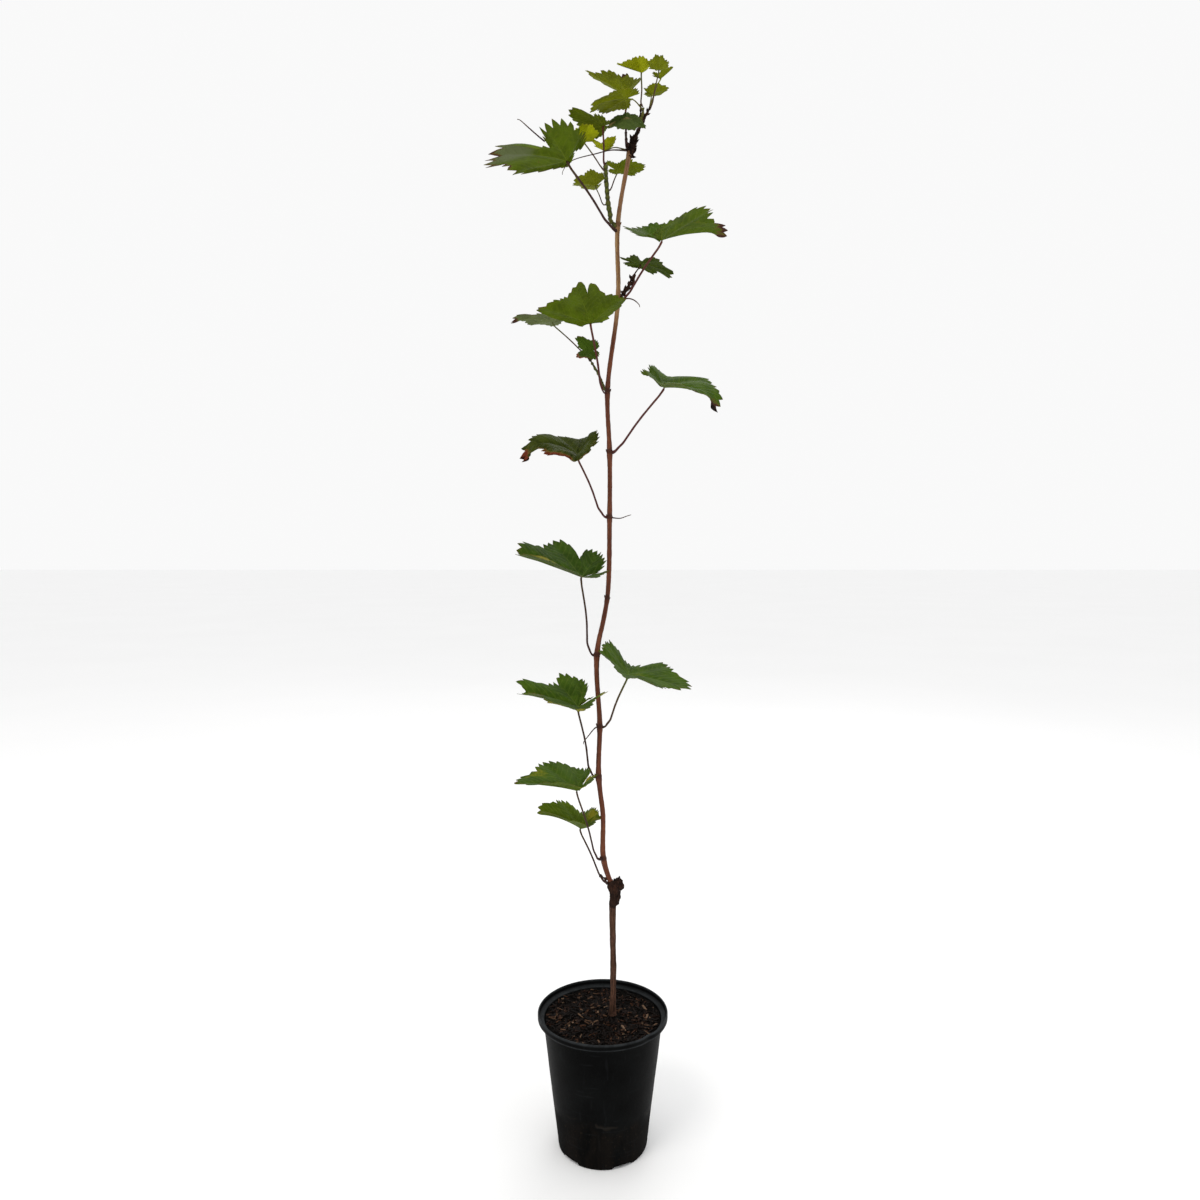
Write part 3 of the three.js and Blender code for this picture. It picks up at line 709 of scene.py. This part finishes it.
def bud(bm, layers, root, toward, length, width, dark=0.5):
    """A pointed bud or scale, its foot at root."""
    grain, mark = layers
    way = toward.normalized()
    side = way.cross(Vector((0.3, 1, 0.2))).normalized()
    up = way.cross(side)
    for corner in bmesh.ops.create_icosphere(bm, subdivisions=2, radius=1)["verts"]:
        x, y, z = corner.co
        waist = 1 - 0.75 * smooth(-0.1, 1, z)
        across = (side * x + up * y * 0.7) * (width / 2 * waist)
        corner.co = root + (way * (z + 0.75) * (length / 1.75) + across) * MM
        corner[grain] = corner.co
        corner[mark] = (dark, 0.5, 0)


def scaly(bm, layers, course, count, length, width, dice, spread=0.5, start=0.0, end=1.0):
    """Ragged scales that lean off a limb."""
    for _ in range(count):
        distance = dice.uniform(start, end) * course.length
        point, radius = course.at(distance)
        way, side, up = course.ways(distance)
        turn = dice.uniform(0, 2 * math.pi)
        out = side * math.cos(turn) + up * math.sin(turn)
        size = dice.uniform(0.6, 1.2)
        bud(bm, layers, point + out * radius * 0.7, way + out * dice.uniform(0.1, spread),
            length * size, width * size, dice.uniform(0.1, 0.9))


def mm(x, y, z):
    return Vector((x, y, z)) * MM


def line(*stations):
    """Stations from rows of x, y, z and radius in millimetres."""
    return [(mm(x, y, z), radius * MM) for x, y, z, radius in stations]


# ---------------------------------------------------------------- trunk, head and cane

CANE_NODES = (331, 427, 485, 569, 636, 731, 807, 878, 985, 1073, 1159)
STEMS = [f"stem_{number}" for number in range(1, 6)]


def cane_skin(along, turn, point):
    height = point.z / MM
    node = min(CANE_NODES, key=lambda place: abs(height - place))
    rise = height - node
    ribs = 0.09 * math.sin(7 * turn + along * 0.02) + 0.05 * math.sin(11 * turn - along * 0.031)
    ring = 0.45 * hump(rise, 0, 1.3) - 0.22 * hump(rise, 3.2, 1.1) + 0.3 * hump(rise, -4, 2.5)
    lump = 0.22 * noise.noise(point * 190) + 0.10 * noise.noise(point * 700)
    return ribs + ring + lump + 0.12 * math.cos(2 * turn), hump(rise, 0.5, 3.5)


def cane_piece():
    stations = []
    for node in STEMS:
        stations += course_of(node, 14)
    first, last = stations[0], stations[-1]
    stations = [(first[0] - mm(-2, 0, 4), first[1] * 1.15)] + stations + [(last[0] + mm(1.2, 0, 3), last[1])]
    bm = bmesh.new()
    layers = bark_layers(bm)
    course = limb(bm, layers, stations, 22, 1.8, cane_skin)
    dice = random.Random(31)
    for height in CANE_NODES[:-1]:
        distance = min((abs(course.at(course.length * i / 400)[0].z / MM - height), course.length * i / 400)
                       for i in range(401))[1]
        point, radius = course.at(distance)
        way, side, _ = course.ways(distance)
        lean = side if dice.random() < 0.5 else -side
        bud(bm, layers, point + lean * radius * 0.75, way + lean * 0.55, 4.2, 2.8, 0.8)
        bud(bm, layers, point - lean * radius * 0.7, way * 0.8 - lean, 2.2, 2.4, 0.95)
    close_up(bm)
    finished(link("cane", bm, CANE_BARK), "cane", *STEMS)


def trunk_skin(along, turn, point):
    round_place = Vector((math.cos(turn) * 1.7, math.sin(turn) * 1.7, along * 0.045))
    strip = noise.noise(round_place) * 0.85 + noise.noise(round_place * 3.1) * 0.4
    knot = 1.1 * hump(along, 44, 4) * hump(turn, 1.0, 0.8)
    knot += 0.8 * hump(along, 92, 3) * hump(turn, 4, 0.7)
    # The sunken strips are darker: painted shade in the furrows.
    return strip * 0.75 + knot, clamp(-strip * 0.9)


def trunk_piece():
    stations = course_of("trunk", 22)
    top, radius = stations[-1]
    foot, wide = stations[0]
    stations = ([(foot - mm(0, 0, 0.2), wide * 1.12)] + stations
                + [(top + mm(0, 0, 4), radius * 1.05)])
    bm = bmesh.new()
    layers = bark_layers(bm)
    limb(bm, layers, stations, 26, 1.0, trunk_skin)
    close_up(bm)
    finished(link("trunk_bark", bm, OLD_BARK), "old_wood", "trunk")


def head_piece():
    """The gnarled knuckle of old wood where the vine was pruned back."""
    bm = merged("head")
    layers = bark_layers(bm)
    bmesh.ops.subdivide_edges(bm, edges=bm.edges, cuts=3, use_grid_fill=True)
    for _ in range(4):
        bmesh.ops.smooth_vert(bm, verts=bm.verts, factor=0.5,
                              use_axis_x=True, use_axis_y=True, use_axis_z=True)
    bm.normal_update()
    lifts = []
    for corner in bm.verts:
        place = corner.co
        lump = noise.noise(place * 160) * 2.0 + noise.noise(place * 420) * 1.1
        lump += noise.noise(place * 1100) * 0.35
        lifts.append((corner, corner.normal * (lump + 0.35) * MM, lump))
    for corner, lift, lump in lifts:
        corner.co += lift
        corner[layers[0]] = corner.co
        # Sunken hollows are darker: painted shade.
        corner[layers[1]] = (clamp(0.15 - lump * 0.45), 0.5, 0)
    dice = random.Random(7)
    spots = [corner.co.copy() for corner in bm.verts]
    middle = sum(spots, Vector()) / len(spots)
    for place in dice.sample(spots, 26):
        out = (place - middle).normalized()
        bud(bm, layers, place - out * 0.6 * MM, out + Vector((0, 0, dice.uniform(-0.4, 0.9))),
            dice.uniform(2, 4.2), dice.uniform(1.8, 3.4), dice.uniform(0.2, 1))
    bmesh.ops.recalc_face_normals(bm, faces=bm.faces)
    finished(link("pruned_head", bm, DARK_BARK), "old_wood", "head")


cane_piece()
trunk_piece()
head_piece()


# ---------------------------------------------------------------- side shoots

def ringed_skin(along, turn, point):
    """Short, crowded joints of a side shoot."""
    beat = math.sin(along * 0.9 + 2 * noise.noise(point * 260))
    rough = noise.noise(point * 420) * 0.5
    # The sunk bands between the rings are darker: painted shade.
    return 0.28 * beat + rough, clamp(0.35 - beat * 0.4)


def shoot_piece(name, node, look, slot, scales, before=(), after=(), seed=1, swell=1.0):
    stations = line(*before) + course_of(node, 8) + line(*after)
    stations = [(place, radius * swell) for place, radius in stations]
    bm = bmesh.new()
    layers = bark_layers(bm)
    course = limb(bm, layers, stations, 16, 0.8, ringed_skin)
    dice = random.Random(seed)
    count, length, width, spread = scales
    scaly(bm, layers, course, count, length, width, dice, spread)
    close_up(bm)
    finished(link(name, bm, look), slot, node)


shoot_piece("low_axil_shoot_bark", "low_axil_shoot", GREEN_BARK, "old_wood", (10, 3.2, 1.8, 0.4),
            before=((4, 1, 879, 1.9),), seed=3)
shoot_piece("right_spur_bark", "right_spur", DARK_BARK, "old_wood", (34, 4.6, 2.8, 0.8),
            before=((19, 1, 988, 2.9),), seed=4)
shoot_piece("upper_side_shoot_bark", "upper_side_shoot", GREEN_BARK, "green_shoot", (46, 3.6, 1.9, 0.45),
            before=((15.5, 1, 1071, 2.4),), after=((3.2, -3, 1141, 2.2), (2.6, -3, 1144, 1.2)),
            seed=5, swell=1.15)
shoot_piece("top_knot_bark", "top_knot", DARK_BARK, "old_wood", (58, 6.2, 3.0, 1.1),
            before=((31, 1, 1153, 3.0),), after=((39, 0, 1177, 2.4),), seed=6)
shoot_piece("top_shoot_bark", "top_shoot", DARK_BARK, "old_wood", (24, 4.4, 2.0, 0.7),
            before=((38, 0, 1175, 2.4),), seed=8)
shoot_piece("top_green_shoot_bark", "top_green_shoot", GREEN_BARK, "green_shoot", (12, 3.0, 1.6, 0.5),
            before=((41, -4, 1186, 1.4),), seed=9)


def stub_piece():
    """Dead tips and withered buds beside the shoots."""
    bm = bmesh.new()
    layers = bark_layers(bm)
    for stations in (
        line((29, -2, 1163, 1.8), (27.4, -3, 1172, 1.6), (27, -3.5, 1181, 1.5), (27.2, -4, 1189, 1.7)),
        line((42, -3, 1190, 1.3), (44, -3, 1200, 1.2), (44.4, -3, 1207, 1.2), (44.6, -3, 1213, 1.5)),
        line((33, -1, 997, 1.6), (35.5, -1.5, 1005, 1.4), (38, -2, 1015, 0.8)),
        line((5, 0, 306, 1.4), (0, -1, 308.5, 1.3), (-3.4, -1, 311, 1.5)),
    ):
        limb(bm, layers, stations, 12, 0.8, ringed_skin)
    close_up(bm)
    finished(link("withered_stubs", bm, DARK_BARK), "old_wood")


stub_piece()


# ---------------------------------------------------------------- leaf stalks and tendrils

WOODY = ["head", "low_axil_shoot", "right_spur", "upper_side_shoot", "top_knot", "top_shoot",
         "top_green_shoot"] + STEMS
SKINS = {1: "dark", 2: "dark", 3: "dark", 4: "olive", 5: "dark", 6: "red", 7: "red", 8: "red", 9: "olive",
         11: "red", 12: "dark", 13: "dark", 14: "olive", 16: "olive", 17: "olive", 18: "red", 19: "dark",
         21: "red", 24: "olive", 25: "olive"}
SMALL_STALKS = (10, 15, 20, 22, 23)


def nearest_wood(point):
    """The nearest place on the wood, and the way into it."""
    found = min((tree.find_nearest(point) for tree in wood), key=lambda hit: hit[3])
    return found[0], -found[1]


def stalk_skin(along, turn, point):
    groove = -0.10 * hump((turn - 1.6), 0, 0.5)
    return groove + 0.06 * noise.noise(point * 500), hump(along, 0, 3.5)


def stalk_piece(number):
    blade = blades[number]
    node = f"stalk_{number:02d}"
    stations = course_of(node, 12)
    foot, radius = stations[0]
    place, inward = nearest_wood(foot)
    top = blade.joint - blade.up * 0.25 * MM
    last = stations[-1][1]
    stations = ([(place + inward * 1.2 * MM, radius * 1.9), (place.lerp(foot, 0.35), radius * 1.75),
                 (foot.lerp(stations[1][0], 0.3), radius * 1.25)] + stations[1:-1]
                + [(stations[-1][0].lerp(top, 0.5), last * 1.05), (top, last * 1.1)])
    bm = bmesh.new()
    limb(bm, bark_layers(bm), stations, 12, 2.0, stalk_skin)
    close_up(bm)
    finished(link(f"leaf_stalk_{number:02d}", bm, STALK_SKINS[SKINS[number]]), "stalk", node)


def small_stalk_piece(number):
    blade = blades[number]
    top = blade.joint - blade.up * 0.2 * MM
    place, inward = nearest_wood(top)
    rise = (top - place).length
    bend = place.lerp(top, 0.45) + Vector((0, 0, 0.12 * rise)) - inward * 0.08 * rise
    bm = bmesh.new()
    limb(bm, bark_layers(bm), [(place + inward * MM, 1.2 * MM), (place, 0.95 * MM), (bend, 0.65 * MM),
                               (top, 0.75 * MM)], 10, 1.5, stalk_skin)
    close_up(bm)
    finished(link(f"small_stalk_{number}", bm, STALK_SKINS["green"]), "stalk")


wood = []
for node in WOODY:
    copy = merged(node)
    wood.append(BVHTree.FromBMesh(copy))
    copy.free()
for number in SKINS:
    stalk_piece(number)
for number in SMALL_STALKS:
    small_stalk_piece(number)


def tendril_piece():
    bm = bmesh.new()
    layers = bark_layers(bm)
    for stations in (
        line((29, 0, 1160, 1.1), (10, -6, 1158, 0.75), (-8, -10, 1152, 0.65), (-30, -12, 1145.5, 0.55),
             (-40, -12, 1140, 0.5), (-46, -11, 1132, 0.4), (-47, -9, 1128, 0.3)),
        line((-66, -30, 1157, 0.9), (-74, -34, 1162, 0.8), (-84, -36, 1170, 0.7), (-93, -36, 1178, 0.5),
             (-97, -35, 1180, 0.35)),
        line((-4, 0, 486, 1.1), (-10, -3, 483, 0.75), (-17, -6, 475, 0.6), (-22, -8, 469, 0.5),
             (-22.5, -9, 466, 0.35)),
        line((10, 0, 730, 0.9), (20, -3, 729, 0.6), (28, -5, 731.5, 0.5), (33, -6, 733, 0.35)),
        line((19, -1, 983, 1.0), (28, -6, 985, 0.8), (36, -9, 982.5, 0.7), (42, -10, 977, 0.5),
             (43, -9, 974, 0.35)),
    ):
        limb(bm, layers, stations, 10, 1.5, stalk_skin)
    close_up(bm)
    finished(link("tendrils", bm, STALK_SKINS["dark"]), "stalk")


tendril_piece()


# ---------------------------------------------------------------- pot

POT_HEIGHT = 153.0
FOOT_RADIUS = 51.5
SHOULDER_RADIUS = 69.6                    # where the wall meets the collar
SHOULDER_HEIGHT = 145.5
WALL = 1.6
NOTCHES = (-64, 8, 80, 152, 224)          # degrees from +X, the gaps between two feet
NOTCH_HALF = 13.0
NOTCH_HEIGHT = 3.5
RIM_DENT = -47                            # degrees from +X


def wall(z):
    """The pot's outer radius at a height, both in millimetres."""
    return FOOT_RADIUS + (SHOULDER_RADIUS - FOOT_RADIUS) * z / SHOULDER_HEIGHT


def pot_look():
    look, base = new_look("charcoal plastic", Specular_IOR_Level=0.03)
    place = object_place(base)
    _, _, z = place.axes()
    grain = place.noise(1400, 3, 0.6)
    cloud = place.noise(22, 4, 0.6)
    film = place.stretched(1, 1, 0.22).noise(70, 4, 0.65)
    crumbs = place.noise(420, 3, 0.7).ramp(0.60, 0.72)
    streaks = place.stretched(1, 1, 0.05).noise(260, 2, 0.5).ramp(0.62, 0.72)
    scratches = place.stretched(0.22, 0.22, 3.0).noise(140, 2, 0.4).ramp(0.66, 0.70)
    colour = cloud.ramp(0.35, 0.7).mix(linear(3, 3, 3), linear(8, 9, 9))
    colour = (streaks * 0.16).mix(colour, linear(34, 36, 38))
    tide = z + place.noise(18, 3, 0.55) * 0.05
    low = tide.ramp(0.080, 0.066)
    colour = (low * film.ramp(0.36, 0.62) * 0.6).mix(colour, linear(20, 16, 13))
    colour = (low * crumbs * 0.6).mix(colour, linear(50, 41, 32))
    line_of_dust = tide.ramp(0.0775, 0.0790) * tide.ramp(0.0812, 0.0795)
    line_of_dust = line_of_dust * place.noise(34, 2, 0.5).ramp(0.5, 0.6)
    colour = (line_of_dust * 0.3).mix(colour, linear(48, 42, 36))
    colour = (crumbs * cloud.ramp(0.5, 0.7) * 0.2).mix(colour, linear(44, 42, 38))
    colour = (scratches * 0.12).mix(colour, linear(50, 52, 54))
    # Painted highlight: a lighter grey band along the top lip and a fainter one on the collar's lower edge.
    rim = z.ramp(0.1500, 0.1526) + z.ramp(0.1456, 0.1462) * z.ramp(0.1480, 0.1466) * 0.7
    colour = (rim * film.ramp(0.3, 0.6, 0.5, 1.0) * 0.6).mix(colour, linear(58, 61, 63))
    height = grain * 0.5 + cloud * 0.6 + crumbs * 0.4
    rough = grain * 0.18 + low * 0.25 + scratches * 0.12 + 0.40
    wire(base, Base_Color=colour, Roughness=rough, Normal=height.bump(0.35, 0.0005))
    return look


def pot_piece():
    underside = [(0, 0), (13, 0), (13.8, 0.3), (14.2, 1), (14.5, 3.2), (15, 3.5), (24, 3.5), (32, 3.5),
                 (35.4, 3.5), (38, 3.5), (40.6, 3.5), (44.3, 3.5), (44.8, 3.1), (45, 2), (45, 0.8),
                 (45.6, 0.1), (47, 0), (49.5, 0), (50.8, 0.4), (51.5, 1.4)]
    outer = [(wall(z), z) for z in (3, 3.8)] + [(wall(z), z) for z in range(8, 144, 4)]
    collar = [(wall(144.6), 144.6), (70.4, 145.3), (72, 145.5), (74.4, 145.5), (75.4, 145.8),
              (75.9, 146.5), (76, 147.6), (76, 149.5), (76, 151.6), (75.8, 152.4), (75.3, 152.9),
              (74.9, 153), (74.5, 152.8), (74.3, 152.2), (74.2, 149), (73.9, 147.6), (72.8, 147),
              (70, 146.8), (68.6, 146.2), (68, 144.4)]
    inner = [(wall(z) - WALL, z) for z in range(140, 6, -8)]
    inside = [(50, 5.7), (48, 5.5), (30, 5.5), (0, 5.5)]
    profile = underside + outer + collar + inner + inside
    bm = bmesh.new()
    corners = [bm.verts.new((radius * MM, 0, z * MM)) for radius, z in profile]
    edges = [bm.edges.new(pair) for pair in zip(corners, corners[1:])]
    bmesh.ops.spin(bm, geom=corners + edges, cent=(0, 0, 0), axis=(0, 0, 1), angle=2 * math.pi, steps=180,
                   use_merge=True)
    for corner in bm.verts:
        place = corner.co
        radius = math.hypot(place.x, place.y) / MM
        if radius < 1:
            continue
        turn = math.degrees(math.atan2(place.y, place.x))
        z = place.z / MM
        if z < NOTCH_HEIGHT and radius > 40:
            away = min(abs((turn - notch + 180) % 360 - 180) for notch in NOTCHES)
            raised = 1 - smooth(NOTCH_HALF - 1.5, NOTCH_HALF + 1, away)
            z += (NOTCH_HEIGHT - z) * raised
        sway = 0.35 * noise.noise(place * 14) + 0.12 * noise.noise(place * 45)
        dent = -1.6 * hump((turn - RIM_DENT + 180) % 360 - 180, 0, 5) * smooth(143, 149, z)
        high = 0.25 * noise.noise(Vector((place.x * 12, place.y * 12, 4))) * smooth(140, 146, z)
        share = (radius + (sway * smooth(0, 12, z) + dent) * smooth(20, 45, radius)) / radius
        corner.co = Vector((place.x * share, place.y * share, min(z + high, POT_HEIGHT) * MM))
    close_up(bm)
    finished(link("nursery_pot", bm, pot_look()), "pot", "pot")


pot_piece()


# ---------------------------------------------------------------- potting mix

SOIL_RADIUS = 67.2
SOIL_EDGE = 143.2                         # height of the mix beside the wall
SLIVERS = 900
CRUMBS = 900
TRUNK_FOOT = (11, 1)


def soil_look():
    look, base = new_look("potting mix", Specular_IOR_Level=0.06, Roughness=0.95)
    place = object_place(base)
    crumb = place.noise(330, 5, 0.75)
    lump = place.noise(90, 4, 0.65)
    bits = place.cells(420, "F1").ramp(0.0, 0.5)
    fleck = place.noise(800, 3, 0.6).ramp(0.62, 0.70)
    colour = crumb.ramp(0.38, 0.66).mix(linear(2, 2, 1), linear(11, 7, 5))
    colour = (lump.ramp(0.5, 0.7) * 0.6).mix(colour, linear(6, 4, 3))
    colour = (fleck * 0.4).mix(colour, linear(48, 32, 21))
    height = crumb * 0.8 + bits * 0.5 + lump
    wire(base, Base_Color=colour, Normal=height.bump(0.9, 0.002))
    return look


def chip_look():
    look, base = new_look("bark chips", Specular_IOR_Level=0.08, Roughness=0.8)
    pick, shade, _ = attribute(base, "tint").axes()
    place = object_place(base)
    fibre = place.noise(900, 4, 0.7)
    colour = pick.add("ShaderNodeValToRGB", {"stops": (
        (0.0, linear(4, 3, 2)), (0.52, linear(11, 7, 5)), (0.74, linear(38, 20, 12)),
        (0.88, linear(70, 43, 26)), (0.95, linear(92, 68, 50)), (1.0, linear(136, 110, 88)))}, {0: pick})
    colour = (fibre.ramp(0.40, 0.62, 1.0, 0.0) * 0.5).mix(colour, linear(26, 16, 11))
    colour = (shade * 0.4).mix(colour, linear(14, 10, 8))
    wire(base, Base_Color=colour, Normal=fibre.bump(0.7, 0.0008))
    return look


def soil_height(x, y):
    """Height of the mix at a place, in metres."""
    place = Vector((x, y, 0))
    solid = soil_solid.ray_cast(Vector((x, y, 0.3)), Vector((0, 0, -1)))[0]
    top = solid.z if solid else SOIL_EDGE * MM
    away = math.hypot(x, y) / MM
    rough = 1.7 * noise.noise(place * 75) + 1.2 * noise.noise(place * 190)
    rough += 0.5 * noise.noise(place * 520)
    return top + rough * MM + 1.4 * MM * smooth(50, 66, away)


def soil_piece():
    top_rows, side_rows, floor_rows = 52, 8, 4
    rows = top_rows + side_rows + floor_rows

    def place(u, v, corner):
        row = round(v * rows)
        turn = (2 * math.pi * u) % (2 * math.pi)
        if row <= top_rows:
            radius = SOIL_RADIUS * row / top_rows * MM
            x, y = radius * math.cos(turn), radius * math.sin(turn)
            return Vector((x, y, soil_height(x, y)))
        if row <= top_rows + side_rows:
            z = 143 + (8 - 143) * (row - top_rows) / side_rows
            radius = wall(z) - 2.2
        else:
            z = 6.0
            radius = 48 * (rows - row) / floor_rows
        return mm(radius * math.cos(turn), radius * math.sin(turn), z)

    bm = bmesh.new()
    sheet(bm, 150, rows, place)
    close_up(bm)
    finished(link("potting_mix", bm, soil_look()), "soil", "soil")


def chips_piece():
    """Slivers of bark and crumbs strewn over the mix."""
    dice = random.Random(12)
    bm = bmesh.new()
    tint = bm.verts.layers.float_vector.new("tint")

    def strew(corners, size, lift, tilt):
        radius = 64.5 * math.sqrt(dice.random())
        turn = dice.uniform(0, 2 * math.pi)
        x, y = radius * math.cos(turn) * MM, radius * math.sin(turn) * MM
        if math.hypot(x - TRUNK_FOOT[0] * MM, y - TRUNK_FOOT[1] * MM) < 6.5 * MM:
            x += 16 * MM
        spin = dice.uniform(0, math.pi)
        lean = dice.uniform(-tilt, tilt)
        pick, shade = dice.random() ** 1.5, dice.random()
        z = soil_height(x, y) + lift * MM
        for corner in corners:
            place = Vector((corner.co.x * size[0], corner.co.y * size[1], corner.co.z * size[2]))
            place += Vector([dice.uniform(-0.16, 0.16) * span for span in size])
            along = place.x * math.cos(lean) - place.z * math.sin(lean)
            up = place.x * math.sin(lean) + place.z * math.cos(lean)
            right = along * math.cos(spin) - place.y * math.sin(spin)
            back = along * math.sin(spin) + place.y * math.cos(spin)
            corner.co = Vector((x, y, z)) + mm(right, back, up)
            corner[tint] = (pick, shade, 0)

    for _ in range(SLIVERS):
        size = (dice.uniform(2.5, 10.5), dice.uniform(0.8, 2.6), dice.uniform(0.4, 1.1))
        strew(bmesh.ops.create_cube(bm, size=1)["verts"], size, dice.uniform(0.2, 0.9), 0.3)
    for _ in range(CRUMBS):
        span = dice.uniform(0.8, 2.8)
        size = (span, span * dice.uniform(0.6, 1), span * dice.uniform(0.5, 0.9))
        crumb = bmesh.ops.create_icosphere(bm, subdivisions=1, radius=0.5)["verts"]
        strew(crumb, size, dice.uniform(0.0, 0.6), 0.6)
    bmesh.ops.recalc_face_normals(bm, faces=bm.faces)
    piece = link("bark_chips", bm, chip_look())
    for polygon in piece.data.polygons:
        polygon.use_smooth = False
    finished(piece, "soil")


copy = merged("soil")
soil_solid = BVHTree.FromBMesh(copy)
copy.free()
soil_piece()
chips_piece()
